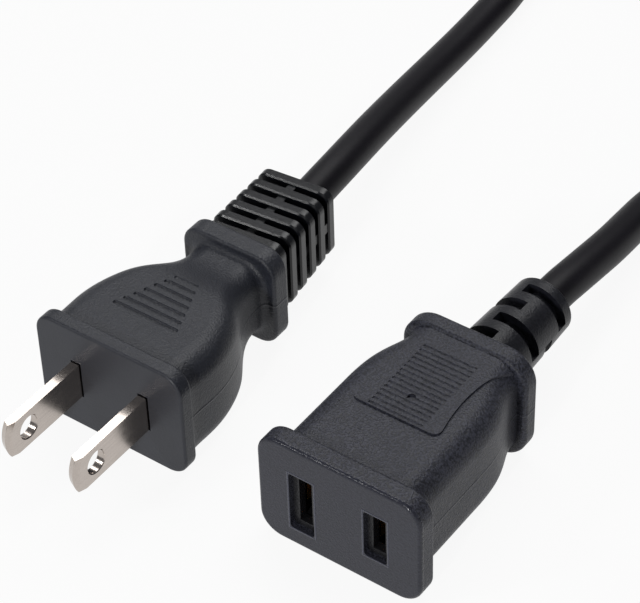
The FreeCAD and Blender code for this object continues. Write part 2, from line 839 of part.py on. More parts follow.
def inner_housing():
    body = housing_block("connector_inner_housing")
    for word, side in SIDES.items():
        right = f"{side} * blade_spacing / 2"
        width, height, up = SLOTS[word]
        slot = cross_section(body, f"housing_slot_{word}_outline", "window_depth")
        rectangle(slot, width, height, right, up)
        pocket(body, f"housing_slot_{word}", slot, "housing_wall")
        inner = "(window_depth + housing_wall)"
        cavity = cross_section(body, f"cavity_{word}_outline", inner)
        rectangle(cavity, "cavity_width", "cavity_height", right)
        pocket(body, f"cavity_{word}", cavity, CAVITY_DEPTH)
        rear = cross_section(body, f"tongue_slot_{word}_outline", f"{HOUSING_END} - housing_wall")
        rectangle(rear, "clip_tongue", "clip_tongue_height", right)
        pocket(body, f"tongue_slot_{word}", rear, "housing_wall")
    return body


def spring_clip(word, side):
    """Two sprung leaves that pinch a blade, folded from one strip, with a tongue and a crimp."""
    name = f"connector_clip_{word}"
    body = new_body(name)
    mouth = "(window_depth + housing_wall + clip_setback)"
    stations = [
        ("(clip_pinch + clip_flare) / 2", mouth),
        ("clip_pinch / 2", f"{mouth} + clip_pinch_back"),
        ("clip_open / 2", f"{mouth} + clip_open_back"),
        ("clip_open / 2", f"{mouth} + clip_length - clip_sheet"),
    ]
    inner_right = [(half, back) for half, back in stations]
    inner_left = [(f"-({half})", back) for half, back in reversed(stations)]
    outer_left = [(f"-({half}) - clip_sheet", back) for half, back in stations[:-1]]
    outer_left.append(("-(clip_open / 2) - clip_sheet", f"{mouth} + clip_length"))
    outer_right = [(f"{half} + clip_sheet", back) for half, back in reversed(stations[:-1])]
    outer_right.insert(0, ("clip_open / 2 + clip_sheet", f"{mouth} + clip_length"))
    strip = sketch_on(body, name + "_strip_outline", "XY")
    outline(strip, inner_right + inner_left + outer_left + outer_right)
    pad(body, name + "_strip", strip, "clip_height", symmetric=True)
    tongue = cross_section(body, name + "_tongue_outline", f"{mouth} + clip_length")
    rectangle(tongue, "clip_tongue", "clip_tongue_height")
    pad_back(body, name + "_tongue", tongue, f"{HOUSING_END} - ({mouth} + clip_length)")
    barrel = cross_section(body, name + "_barrel_outline", HOUSING_END)
    circle(barrel, "crimp_diameter")
    pad_back(body, name + "_barrel", barrel, "clip_crimp_length")
    bore = cross_section(body, name + "_bore_outline", f"{HOUSING_END} + crimp_floor")
    circle(bore, "wire_diameter")
    pocket(body, name + "_bore", bore, "clip_crimp_length - crimp_floor")
    place_in_connector(body, f"{side} * blade_spacing / 2")
    return body


def connector_conductor(word, side):
    length = "clip_crimp_length - crimp_floor + wire_bare"
    wire = rod(f"connector_wire_{word}", "wire_diameter", length)
    place_in_connector(wire, f"{side} * blade_spacing / 2", f"{HOUSING_END} + crimp_floor")
    middle = value("connector_right")
    right = middle + side * value("blade_spacing") / 2
    beside = middle + side * value("core_spacing") / 2
    back = value("connector_back") + value(CLIP_CRIMP_END) + value("wire_bare")
    merged = value("connector_back") + value("jacket_start_connector")
    level = value(CONNECTOR_UP)
    core = tube(f"connector_core_{word}", [
        (right, back, level),
        (right, back + value("core_straight") / 2, level),
        (beside, merged - value("core_merge") / 2, level),
        (beside, merged, level),
    ], "core_diameter")
    return [wire, core]


connector_housing = inner_housing()
connector_clips = [spring_clip(word, side) for word, side in SIDES.items()]
connector_conductors = [piece for word, side in SIDES.items()
                        for piece in connector_conductor(word, side)]
connector_cord_end = rod("lead_end_in_connector", "cord_diameter",
                         "boot_end - jacket_start_connector")
place_in_connector(connector_cord_end, "0", "jacket_start_connector")


# Connector moulding

def hull_sections():
    sections = [("rim_depth", "hull_width", "hull_height")]
    for share in SHOULDER_SHARES:
        station = f"(hull_shoulder_start + {share} * (hull_shoulder_end - hull_shoulder_start))"
        fall = (f"hull_shoulder_radius - sqrt(hull_shoulder_radius ^ 2"
                f" - ({station} - hull_shoulder_start) ^ 2)")
        sections.append((station, f"hull_width - 2 * ({fall})", "hull_height"))
    sections.append(("ring_front", "throat_width", "hull_height"))
    return sections


def connector_moulding():
    body = new_body("connector_moulding")
    slab(body, "rim", "0", "rim_depth", "rim_width", "rim_height", "rim_corner", "rim_edge")
    slab(body, "ring", "ring_front", "ring_depth", "ring_width", "ring_height",
         "ring_corner", "ring_edge")
    loft(body, "hull", hull_sections(), "hull_corner")
    for word, side in SIDES.items():
        width, height, up = WINDOWS[word]
        window = cross_section(body, f"window_{word}_outline", "0")
        rounded_rectangle(window, width, height, "window_corner",
                          f"{side} * blade_spacing / 2", up)
        pocket(body, f"window_{word}", window, "window_depth")
    place_in_connector(body)
    return body


def panel_skin():
    """The grip's own skin, stood off by the rise of the panel."""
    body = new_body("panel_skin")
    loft(body, "raised", hull_sections(), "hull_corner", margin="panel_rise")
    place_in_connector(body)
    return body


def drawn_in_arc(start, end, level):
    """An arc between two points whose centre lies beside them, at a level along Y."""
    rise = (end.y - level) ** 2 - (start.y - level) ** 2
    across = (end.x ** 2 - start.x ** 2 + rise) / (2 * (end.x - start.x))
    centre = Vector(across, level, 0)
    radius = (start - centre).Length
    middle = ((start + end) / 2 - centre).normalize() * radius + centre
    return Part.Arc(start, middle, end)


def panel_prism():
    """The panel's outline: a round-cornered front edge and sides that are drawn in."""
    body = new_body("panel_prism")
    sketch = sketch_on(body, "panel_outline", "XY")
    front = ("panel_front_width / 2", "panel_front")
    waist = ("panel_waist_width / 2", "panel_waist_station")
    end = ("panel_end_width / 2", "ring_front")
    left = [(f"-{half}", back) for half, back in (front, waist, end)]
    turns = [front, *left, end, waist]
    spots = [Vector(value(half), value(back), 0) for half, back in turns]
    for index, spot in enumerate(spots):
        after = spots[(index + 1) % 6]
        if index in (0, 3):
            sketch.addGeometry(Part.LineSegment(spot, after))
            continue
        sketch.addGeometry(drawn_in_arc(spot, after, spots[2 if index < 3 else 5].y))
        held = sketch.addConstraint(Sketcher.Constraint("DistanceY", -1, 1, index, 3, spots[2].y))
        bind(sketch, f"Constraints[{held}]", "panel_waist_station")
    for index in range(6):
        joint = Sketcher.Constraint("Coincident", index, 2, (index + 1) % 6, 1)
        sketch.addConstraint(joint)
        fix_point(sketch, index, 1, *turns[index])
    block = pad(body, "panel_block", sketch, "hull_height")

    def upright_at_front(edge):
        box = edge.BoundBox
        return box.XLength < CLOSE < box.ZLength and abs(box.YMax - value("panel_front")) < CLOSE
    fillet(body, "panel_corners", block, edges_where(block, upright_at_front), "panel_corner")
    place_in_connector(body)
    return body


def boot():
    """A round boot whose staggered notches let it bend."""
    body = new_body("connector_boot")
    start = "(ring_front + ring_depth / 2)"
    profile = sketch_on(body, "boot_profile", "XY")
    outline(profile, [
        ("0", start), ("boot_root / 2", start), ("boot_root / 2", "ring_front + ring_depth"),
        ("boot_tip / 2", "boot_end - boot_lip"), ("boot_tip / 2 - boot_lip", "boot_end"),
        ("0", "boot_end"),
    ])
    turned = body.newObject("PartDesign::Revolution", "boot_turned")
    turned.Profile = profile
    turned.ReferenceAxis = (profile, ["V_Axis"])
    turned.Angle = 360
    for index in range(int(value("notch_count"))):
        station = f"(notch_first + {index} * notch_pitch)"
        first = index % 2 == 1
        begin = "0" if first else "notch_other_start"
        sweep = "notch_sweep" if first else "notch_other_sweep"
        notch = sketch_on(body, f"notch_{index}_outline", "XY")
        notch.AttachmentOffset = Placement(Vector(), Rotation(Vector(0, 1, 0), -value(begin)))
        middle = "(boot_core / 2 + boot_root) / 2"
        rectangle(notch, "boot_root - boot_core / 2", "notch_width", middle,
                  f"{station} + notch_width / 2")
        cut = body.newObject("PartDesign::Groove", f"notch_{index}")
        cut.Profile = notch
        cut.ReferenceAxis = (notch, ["V_Axis"])
        bind(cut, "Angle", sweep)
        cut.Reversed = True
        pair = body.newObject("PartDesign::PolarPattern", f"notch_{index}_pair")
        pair.Originals = [cut]
        pair.Axis = (axis_of(body, "Y"), [""])
        pair.Angle = 360
        pair.Occurrences = 2
        body.Tip = pair
    place_in_connector(body)
    return body


def connector_body_piece():
    pieces = [panel_skin(), panel_prism()]
    panel = doc.addObject("Part::MultiCommon", "panel")
    panel.Shapes = pieces
    solid = joined("connector_solid", [connector_moulding(), panel, boot()])
    ribs = []
    for index in range(int(value("rib_count"))):
        groove = doc.addObject("Part::Cylinder", f"rib_{index}")
        bind(groove, "Radius", "rib_round")
        bind(groove, "Height", "2 * rib_half_length")
        groove.Placement = Placement(Vector(), Rotation(Vector(0, 1, 0), 90))
        place_in_connector(groove, "-rib_half_length", f"rib_first + {index} * rib_pitch",
                           "hull_height / 2 + panel_rise - rib_depth + rib_round")
        ribs.append(groove)
    mark = doc.addObject("Part::Cylinder", "gate_mark")
    bind(mark, "Radius", "gate_mark / 2")
    bind(mark, "Height", "2 * gate_mark_depth")
    place_in_connector(mark, "0", "gate_mark_station",
                       "hull_height / 2 + panel_rise - gate_mark_depth")
    contents = [housing_block("housing_room")] + connector_clips + connector_conductors
    return hollowed("connector_body", solid, contents + [connector_cord_end] + ribs + [mark])


connector_body = connector_body_piece()


# Cord

def lead_tubes():
    exit_point = leaned(0.0, value(RELIEF_REACH))
    outer = value("coil_outer_turn - stub_inset")
    stub_back = value("coil_back") - value("stub_length")
    first_end = (value("coil_right") - outer, stub_back, value(FIRST_LAYER))
    last_end = (value("coil_right") + outer, stub_back, value(LAST_LAYER) - value("stub_drop"))
    boot_mouth = (value("connector_right"), value("connector_back") + value("boot_end"),
                  value(CONNECTOR_UP))
    first = tube("lead_from_plug", [exit_point] + ROUTE_FROM_PLUG + [first_end], "cord_diameter")
    last = tube("lead_to_connector", [boot_mouth] + ROUTE_FROM_CONNECTOR + [last_end],
                "cord_diameter")
    return [first, last]


def lead_coil():
    """The outer shape of the coiled length, with the two stubs on which the leads end."""
    body = new_body("coil_ring")
    sketch = sketch_on(body, "coil_outline", "XZ")
    cut_rectangle(sketch, COIL_WIDTH, COIL_HEIGHT, "coil_corner",
                  COIL_MIDDLE, f"tie_thickness + {COIL_HEIGHT} / 2")
    ring = body.newObject("PartDesign::Revolution", "coil_turned")
    ring.Profile = sketch
    ring.ReferenceAxis = (sketch, ["V_Axis"])
    ring.Angle = 360
    place(body, "coil_right", "coil_back", "0")
    stubs = []
    for name, side, level, drop in (("first", "-1", FIRST_LAYER, "0"),
                                    ("last", "1", LAST_LAYER, "stub_drop")):
        fall = math.degrees(math.atan2(value(drop), value("stub_length")))
        stub = doc.addObject("Part::Cylinder", f"coil_stub_{name}")
        bind(stub, "Radius", "cord_diameter / 2")
        bind(stub, "Height", f"sqrt(stub_length ^ 2 + ({drop}) ^ 2)")
        stub.Placement = Placement(Vector(), Rotation(Vector(1, 0, 0), 90 + fall))
        place(stub, f"coil_right + {side} * (coil_outer_turn - stub_inset)", "coil_back", level)
        stubs.append(stub)
    return joined("lead_coil", [body] + stubs)


def coil_tie(coil):
    """A strap round the bundle of turns, on the side away from the plug."""
    body = new_body("tie_band")
    sketch = sketch_on(body, "tie_outline", "YZ")
    cut_rectangle(sketch, f"{COIL_WIDTH} + 2 * tie_thickness", f"{COIL_HEIGHT} + 2 * tie_thickness",
                  "coil_corner + tie_thickness * (2 - sqrt(2))", COIL_MIDDLE,
                  f"tie_thickness + {COIL_HEIGHT} / 2")
    pad(body, "tie_block", sketch, "tie_width", symmetric=True)
    place(body, "coil_right", "coil_back", "0")
    band = doc.addObject("Part::Cut", "coil_tie")
    band.Base = body
    band.Tool = coil
    return band


leads = lead_tubes()
coil = lead_coil()
tie = coil_tie(coil)


# The pieces, each under the name of its file

nodes = (
    [plug_body] + plug_blades + [plug_bridge] + plug_conductors + [plug_cord_end, connector_body,
    connector_housing] + connector_clips + connector_conductors + [connector_cord_end]
    + leads + [coil, tie]
)

doc.recompute()
for item in doc.Objects:
    if "Invalid" in item.State or "Error" in item.State:
        raise RuntimeError(f"{item.Name} didn't build: {item.State}")
for node in nodes:
    shape = node.Shape
    if shape.isNull() or not shape.isValid() or shape.Volume <= 0:
        raise RuntimeError(f"{node.Label} has no sound solid")

os.makedirs("parts", exist_ok=True)
for node in nodes:
    node.Shape.exportStep(f"parts/{node.Label}.step")
    print(f"{node.Label}: {len(node.Shape.Solids)} solid, {node.Shape.Volume / 1000:.3f} cm3")
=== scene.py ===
"""Finishes, free cord and studio for a two-blade plug on its extension lead."""
import math
from collections import namedtuple

import bmesh
import bpy
from bpy.props import FloatProperty, FloatVectorProperty, IntProperty, PointerProperty
from mathutils import Matrix, Vector


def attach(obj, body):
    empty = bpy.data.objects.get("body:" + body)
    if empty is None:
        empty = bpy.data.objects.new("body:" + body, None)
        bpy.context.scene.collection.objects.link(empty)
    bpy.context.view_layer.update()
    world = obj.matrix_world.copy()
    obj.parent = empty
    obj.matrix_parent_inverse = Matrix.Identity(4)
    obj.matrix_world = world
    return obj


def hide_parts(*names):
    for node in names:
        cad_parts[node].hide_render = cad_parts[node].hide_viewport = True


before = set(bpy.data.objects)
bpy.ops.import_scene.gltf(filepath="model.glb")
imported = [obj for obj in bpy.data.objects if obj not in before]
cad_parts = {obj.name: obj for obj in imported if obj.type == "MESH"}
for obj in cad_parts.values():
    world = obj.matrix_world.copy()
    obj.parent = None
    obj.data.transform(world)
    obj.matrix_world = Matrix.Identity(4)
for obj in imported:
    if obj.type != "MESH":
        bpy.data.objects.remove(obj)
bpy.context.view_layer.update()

bl_info = {
    "name": "Extension Lead with a Two-Blade Plug",
    "version": (1, 0, 0),
    "blender": (4, 5, 0),
    "location": "View3D > Sidebar > Extension Lead",
    "description": "Dresses the plug, the connector and the cord, and sets up the studio around them",
    "category": "Object",
}

MM = 0.001

# Where the cord leaves the plug's strain relief and enters the connector's boot, in millimetres
CORD_EXIT = (-2.035, 33.230, 9.9)
BOOT_MOUTH = (42.3, 35.9, 9.75)

# The cord's route from the plug to the coil, in millimetres
ROUTE_FROM_PLUG = (
    (-2.542, 38.8, 9.9),
    (-3.08, 44.8, 9.75),
    (-3.88, 51.0, 9.3),
    (-4.9, 57.6, 8.5),
    (-6.0, 64.7, 7.45),
    (-7.1, 72.0, 6.3),
    (-8.15, 79.4, 5.15),
    (-9.05, 86.8, 4.2),
    (-9.8, 94.0, 3.55),
    (-10.5, 101.1, 3.2),
    (-11.1, 108.4, 3.1),
    (-12.3, 115.8, 3.1),
    (-14.2, 123.1, 3.15),
    (-16.5, 130.1, 3.45),
    (-18.1, 136.35, 3.85),
    (-18.7, 141.9, 4.1),
    (-18.7, 146.9, 4.1),
)

# The cord's route from the connector to the coil, in millimetres
ROUTE_FROM_CONNECTOR = (
    (42.3, 39.6, 9.75),
    (42.5, 44.2, 9.35),
    (42.5, 49.6, 8.55),
    (42.4, 55.6, 7.5),
    (41.8, 62.2, 6.15),
    (41.3, 69.3, 4.9),
    (41.7, 76.65, 3.95),
    (43.2, 83.85, 3.35),
    (46.0, 90.65, 3.1),
    (49.65, 97.05, 3.1),
    (54.1, 102.9, 3.1),
    (58.9, 108.45, 3.1),
    (63.65, 114.1, 3.2),
    (67.9, 120.1, 3.55),
    (71.3, 126.65, 4.25),
    (73.65, 133.6, 5.2),
    (74.7, 140.9, 6.085),
    (74.7, 146.9, 6.8),
)

# The photograph's viewpoint: where the camera stands, and its own right and up directions
CAMERA_PLACE = Vector((0.18840, -0.21501, 0.27116))
CAMERA_RIGHT = Vector((0.8124, 0.5826, -0.0259))
CAMERA_UP = Vector((-0.3741, 0.5548, 0.7431))
CAMERA_LENS = 143.13
CAMERA_SENSOR = 36.0

# Each lamp: its name, the setting that holds its power, its two sides and its place, in metres
LAMPS = (
    ("back_lamp", "back_light", (0.9, 0.5), (-0.14, 0.48, 0.90)),
    ("left_lamp", "left_light", (0.7, 0.6), (-0.75, 0.62, 0.37)),
    ("edge_lamp", "edge_light", (0.10, 0.10), (-0.40, -0.58, 0.52)),
    ("glint_lamp", "glint_light", (0.05, 0.05), (0.18, -0.74, 0.31)),
)
LAMP_TARGET = (0.022, 0.0, 0.01)

# The floor: how much of white the camera and the reflections see, the two distances in metres between
# which that white fades into the surround, its roughness, and the corners of its edge
FLOOR_WHITE = 0.92
FLOOR_FADE = (0.5, 1.6)
FLOOR_ROUGHNESS = 0.9
FLOOR_CORNERS = 96
WHITE = (1.0, 1.0, 1.0, 1.0)

# The cord as it is drawn: the order of its spline, its steps from point to point, how finely it is
# rounded, the points on the straight way to the coil, and the turns taken to change layer
SPLINE_ORDER = 3
CORD_STEPS = 8
ROUNDING_STEPS = 10
STRAIGHT_POINTS = 2
LAYER_CHANGE = 0.5

# The connector's grip, in metres, from its flange to its shoulder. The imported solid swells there, and
# the real grip is straight.
GRIP_START = -0.0151
GRIP_END = 0.0009
GRIP_MIDDLE_X = 0.0423
GRIP_MIDDLE_Z = 0.00975
GRIP_HALF_WIDTH = 0.0119
GRIP_CORNER = 0.004
PANEL_HALF_WIDTH = 0.0078
NEARLY = 0.00001

# How far from the middle height the points of a side wall lie at most, in metres, and the share of Y in a
# normal that marks an end face
WALL_REACH = 0.005
END_FACE_NORMAL = 0.9

# A skin: how far its two shades stand from its colour, its grains in a metre, its least and most
# roughness, the depth of its grain in metres, and its gloss
PLAIN_GLOSS = 0.5
Skin = namedtuple("Skin", "contrast grains roughness depth gloss", defaults=(PLAIN_GLOSS,))
PLUG_SKIN = Skin(contrast=0.25, grains=3200.0, roughness=(0.38, 0.52), depth=0.00003, gloss=0.34)
CONNECTOR_SKIN = Skin(contrast=0.7, grains=3000.0, roughness=(0.28, 0.6), depth=0.00004, gloss=0.24)
CORD_SKIN = Skin(contrast=0.12, grains=1500.0, roughness=(0.38, 0.5), depth=0.000002, gloss=0.18)
HELD_CORD_SKIN = Skin(contrast=0.12, grains=1500.0, roughness=(0.3, 0.42), depth=0.00001)
INNER_SKIN = Skin(contrast=0.12, grains=2000.0, roughness=(0.35, 0.5), depth=0.00002)
DARK_CORE_SKIN = Skin(contrast=0.12, grains=1800.0, roughness=(0.35, 0.5), depth=0.00001)
LIGHT_CORE_SKIN = Skin(contrast=0.06, grains=1800.0, roughness=(0.35, 0.5), depth=0.00001)

# A metal: how far its two shades stand from its colour, its least and most roughness, and the depth of
# its drawn lines in metres
Metal = namedtuple("Metal", "contrast roughness depth")
PLATING = Metal(contrast=0.26, roughness=(0.14, 0.28), depth=0.000001)
STRANDS = Metal(contrast=0.15, roughness=(0.2, 0.4), depth=0.00001)
BRASS = Metal(contrast=0.12, roughness=(0.2, 0.4), depth=0.000006)

# A polished strain relief: its shade against the moulding's colour, its roughness and its share of grain
Relief = namedtuple("Relief", "shade roughness grain")

# A window in a moulding's face, in metres
Window = namedtuple("Window", "middle_x middle_z width height")

# A moulding: its skin, then where its plain face ends and where its parting line and its relief start
# along Y, and the height of that line, in metres. Then its relief, its rim's polish and its windows.
Moulding = namedtuple(
    "Moulding", "skin face_end line_start relief_start line_height relief rim_polish windows"
)
PLUG = Moulding(
    skin=PLUG_SKIN,
    face_end=-0.0170,
    line_start=-0.0144,
    relief_start=0.0156,
    line_height=0.0099,
    relief=Relief(shade=0.26, roughness=(0.2, 0.3), grain=0.1),
    rim_polish=0.0,
    windows=(),
)
CONNECTOR = Moulding(
    skin=CONNECTOR_SKIN,
    face_end=-0.0183,
    line_start=-0.0150,
    relief_start=0.0166,
    line_height=GRIP_MIDDLE_Z,
    relief=Relief(shade=0.42, roughness=(0.28, 0.4), grain=0.4),
    rim_polish=1.0,
    windows=(
        Window(middle_x=0.03595, middle_z=0.0088, width=0.0042, height=0.0108),
        Window(middle_x=0.04865, middle_z=0.00975, width=0.0039, height=0.0087),
    ),
)

# What the faces and the reliefs keep of the moulding's grain or contrast, how far the parting line and
# the windows' lips stand out in metres, how much lighter a lip's painted highlight is, and how smooth a
# polished rim is
FACE_GRAIN = 0.3
RELIEF_CONTRAST = 0.5
LINE_RISE = 0.00008
LIP_RISE = 0.00012
# The lips' lighter colour is a painted highlight along their edges
LIP_HIGHLIGHT = 3.0
RIM_ROUGHNESS = 0.16

# The patterns in a moulded skin: how many fit in a metre, how the marks are scaled along each axis, how
# sharply the grain stands out, and the grain's share in the roughness and in the colour
CLOUDS_PER_METRE = 90.0
MARKS_PER_METRE = 420.0
MARK_STRETCH = (1.0, 0.35, 1.0)
GRAIN_GAIN = 3.6
GRAIN_OFFSET = -1.3
GRAIN_IN_ROUGHNESS = 0.6
GRAIN_IN_COLOUR = 0.75

# How the parting line wanders, and how wide the edge of a zone is, in metres
LINE_WAVES_PER_METRE = 60.0
LINE_WANDER = 0.0002
ZONE_EDGE = 0.00025

# Drawn metal: its lines in a metre along each axis, its scuffs in a metre, and the lines' share in the
# colour
DRAWN_LINES = (4200.0, 90.0, 4200.0)
SCUFFS_PER_METRE = 380.0
LINES_IN_COLOUR = 0.5

# The strap: how far its two shades stand from its colour, its roughness, and its threads' rise in metres
TIE_CONTRAST = 0.45
TIE_ROUGHNESS = 0.85
THREAD_RISE = 0.00015

# The places of the two colours and the result among a Mix node's sockets, whose names repeat
MIX_LOW = 6
MIX_HIGH = 7
MIX_RESULT = 2

# The solids that go with the connector's moulding on the far end of the cord
CONNECTOR_NODES = (
    "connector_inner_housing",
    "connector_clip_left",
    "connector_clip_right",
    "connector_core_left",
    "connector_core_right",
    "connector_wire_left",
    "connector_wire_right",
    "lead_end_in_connector",
)


def screen(red, green, blue):
    """A screen colour, 0 to 255 a channel, as the linear colour that Blender works in."""
    linear = []
    for channel in (red, green, blue):
        share = channel / 255
        linear.append(share / 12.92 if share <= 0.04045 else ((share + 0.055) / 1.055) ** 2.4)
    return (*linear, 1.0)


def colour(name, description, default):
    """A colour property with its default given as a screen colour."""
    return FloatVectorProperty(
        name=name, description=description, subtype="COLOR", size=4, min=0, max=1,
        default=screen(*default),
    )


def length(name, description, default):
    """A length property, given in millimetres and kept in metres."""
    return FloatProperty(
        name=name, description=description, subtype="DISTANCE", unit="LENGTH", precision=5,
        min=0, default=default * MM,
    )


class CordSizes(bpy.types.PropertyGroup):
    """What the free cord measures and how its unseen length is wound."""

    diameter: length("Cord diameter", "Outer diameter of the jacket", 6.2)
    real_length: length("Cord length", "Length of the lead from plug to connector", 1800)
    coil_x: length("Coil centre X", "Middle of the coil, sideways", 28.0)
    coil_y: length("Coil centre Y", "Middle of the coil, behind the plug", 172.9)
    outer_turn: length("Outer turn radius", "Centreline radius of the coil's widest turn", 46.9)
    inner_turn: length("Inner turn radius", "Centreline radius of the coil's tightest turn", 24.9)
    lower_layer: length("Lower layer height", "Height of the lower layer's centreline", 3.9)
    upper_layer: length("Upper layer height", "Height of the upper layer's centreline", 10.1)
    layer_turns: FloatProperty(
        name="Turns in a layer", description="Turns wound in each of the two layers", default=3.25
    )
    turn_points: IntProperty(
        name="Points in a turn", description="Control points for each turn of the coil", default=16, min=12
    )


class FinishColours(bpy.types.PropertyGroup):
    """The colours of the materials."""

    plug_moulding: colour("Plug moulding", "Satin black vinyl of the plug", (33, 35, 42))
    connector_moulding: colour("Connector moulding", "Grained black vinyl of the connector", (41, 42, 50))
    cord_jacket: colour("Cord jacket", "Smooth black vinyl of the cord", (14, 12, 18))
    blade_plating: colour("Blade plating", "Nickel on the blades", (182, 173, 166))
    inner_plastic: colour("Inner plastic", "Stiff black plastic behind the connector's slots", (20, 20, 23))
    contact_brass: colour("Contact brass", "Spring brass of the connector's clips", (190, 150, 84))
    copper: colour("Copper", "Stripped strands", (200, 118, 76))
    core_dark: colour("Dark core", "Insulation of the ribbed conductor", (26, 26, 28))
    core_light: colour("Light core", "Insulation of the plain conductor", (208, 208, 202))
    tie_strap: colour("Tie strap", "Woven strap that holds the coil", (28, 28, 30))


class StudioSettings(bpy.types.PropertyGroup):
    """The plain studio."""

    floor: colour("Floor", "Pale paper under the lead", (200, 200, 200))
    surround: colour("Surround", "Plain grey all around", (196, 197, 200))
    surround_light: FloatProperty(
        name="Surround light", description="Strength of the even light all around", default=0.3, min=0
    )
    back_light: FloatProperty(
        name="Back lamp", description="Power of the large lamp behind and above", default=8.0,
        subtype="POWER",
    )
    left_light: FloatProperty(
        name="Left lamp", description="Power of the low lamp on the left", default=0.45,
        subtype="POWER",
    )
    edge_light: FloatProperty(
        name="Edge lamp", description="Power of the small lamp that lights the front edges", default=1.5,
        subtype="POWER",
    )
    glint_light: FloatProperty(
        name="Glint lamp", description="Power of the small lamp in front on the right", default=3.5,
        subtype="POWER",
    )
    floor_radius: length("Floor radius", "Radius of the pale floor", 2500)


def link(tree, *pairs):
    """Join each pair of sockets."""
    for source, target in pairs:
        tree.links.new(source, target)


def node_of(tree, kind, **settings):
    """A node with its properties set."""
    node = tree.nodes.new(kind)
    for name, value in settings.items():
        setattr(node, name, value)
    return node


def set_input(tree, socket, value):
    """Give an input its value, which is a number, a colour or another socket."""
    if isinstance(value, bpy.types.NodeSocket):
        tree.links.new(value, socket)
    else:
        socket.default_value = value


def maths(tree, operation, *values, clamp=False):
    """A Math node: each value is a number or a socket. Gives the result's socket."""
    node = node_of(tree, "ShaderNodeMath", operation=operation, use_clamp=clamp)
    for socket, value in zip(node.inputs, values):
        set_input(tree, socket, value)
    return node.outputs[0]


def between(tree, mask, low, high):
    """A value that goes from low to high, numbers or sockets, as the mask goes from 0 to 1."""
    node = node_of(tree, "ShaderNodeMapRange")
    set_input(tree, node.inputs["Value"], mask)
    set_input(tree, node.inputs["To Min"], low)
    set_input(tree, node.inputs["To Max"], high)
    return node.outputs["Result"]


def mixed_colour(tree, mask, low, high):
    """A colour that goes from low to high, colours or sockets, as the mask goes from 0 to 1."""
    node = node_of(tree, "ShaderNodeMix", data_type="RGBA")
    set_input(tree, node.inputs["Factor"], mask)
    set_input(tree, node.inputs[MIX_LOW], low)
    set_input(tree, node.inputs[MIX_HIGH], high)
    return node.outputs[MIX_RESULT]


def weighed(tree, first, second, share):
    """Two values added up, the first with its share and the second with what is left."""
    return maths(
        tree, "ADD", maths(tree, "MULTIPLY", first, share), maths(tree, "MULTIPLY", second, 1 - share)
    )


def ridge(tree, offset, reach):
    """A mask that is 1 where the offset is nothing, and falls to 0 where it equals the reach."""
    share = maths(tree, "DIVIDE", maths(tree, "ABSOLUTE", offset), reach, clamp=True)
    return maths(tree, "SUBTRACT", 1.0, share)


def noise(tree, where, scale, detail=2.0, roughness=0.5):
    """A noise texture's value; scale is a number or a socket."""
    node = node_of(tree, "ShaderNodeTexNoise")
    node.inputs["Detail"].default_value = detail
    node.inputs["Roughness"].default_value = roughness
    tree.links.new(where, node.inputs["Vector"])
    set_input(tree, node.inputs["Scale"], scale)
    return node.outputs["Fac"]


def stretched(tree, where, factors):
    """Coordinates scaled by a factor along each axis."""
    node = node_of(tree, "ShaderNodeVectorMath", operation="MULTIPLY")
    tree.links.new(where, node.inputs[0])
    node.inputs[1].default_value = factors
    return node.outputs["Vector"]


def split(tree, where):
    """The sockets of a place's X, Y and Z."""
    node = node_of(tree, "ShaderNodeSeparateXYZ")
    tree.links.new(where, node.inputs[0])
    return node.outputs


def effect(name, inputs, outputs):
    """An empty shader node group with named sockets, and the sockets inside it, given and put out."""
    tree = bpy.data.node_groups.new(name, "ShaderNodeTree")
    for label, kind, default in inputs:
        socket = tree.interface.new_socket(name=label, in_out="INPUT", socket_type=kind)
        if default is not None:
            socket.default_value = default
    for label, kind in outputs:
        tree.interface.new_socket(name=label, in_out="OUTPUT", socket_type=kind)
    return tree, tree.nodes.new("NodeGroupInput").outputs, tree.nodes.new("NodeGroupOutput").inputs


def moulded_skin():
    """The skin that a mould leaves on vinyl: fine grain, faint cloudiness and handling marks."""
    tree, given, out = effect(
        "Moulded Skin",
        (
            ("Place", "NodeSocketVector", None),
            ("Dark Colour", "NodeSocketColor", screen(30, 30, 34)),
            ("Light Colour", "NodeSocketColor", screen(50, 50, 54)),
            ("Grains per Metre", "NodeSocketFloat", 3000.0),
            ("Least Roughness", "NodeSocketFloat", 0.4),
            ("Most Roughness", "NodeSocketFloat", 0.6),
        ),
        (("Colour", "NodeSocketColor"), ("Roughness", "NodeSocketFloat"), ("Height", "NodeSocketFloat")),
    )
    grain = noise(tree, given["Place"], given["Grains per Metre"], detail=1.0, roughness=0.6)
    clouds = noise(tree, given["Place"], CLOUDS_PER_METRE, detail=3.0)
    along_marks = stretched(tree, given["Place"], MARK_STRETCH)
    marks = noise(tree, along_marks, MARKS_PER_METRE, detail=4.0, roughness=0.6)
    speckle = maths(tree, "MULTIPLY_ADD", grain, GRAIN_GAIN, GRAIN_OFFSET, clamp=True)
    sheen = weighed(tree, grain, marks, GRAIN_IN_ROUGHNESS)
    tone = weighed(tree, speckle, clouds, GRAIN_IN_COLOUR)
    link(
        tree,
        (mixed_colour(tree, tone, given["Dark Colour"], given["Light Colour"]), out["Colour"]),
        (between(tree, sheen, given["Least Roughness"], given["Most Roughness"]), out["Roughness"]),
        (speckle, out["Height"]),
    )
    return tree


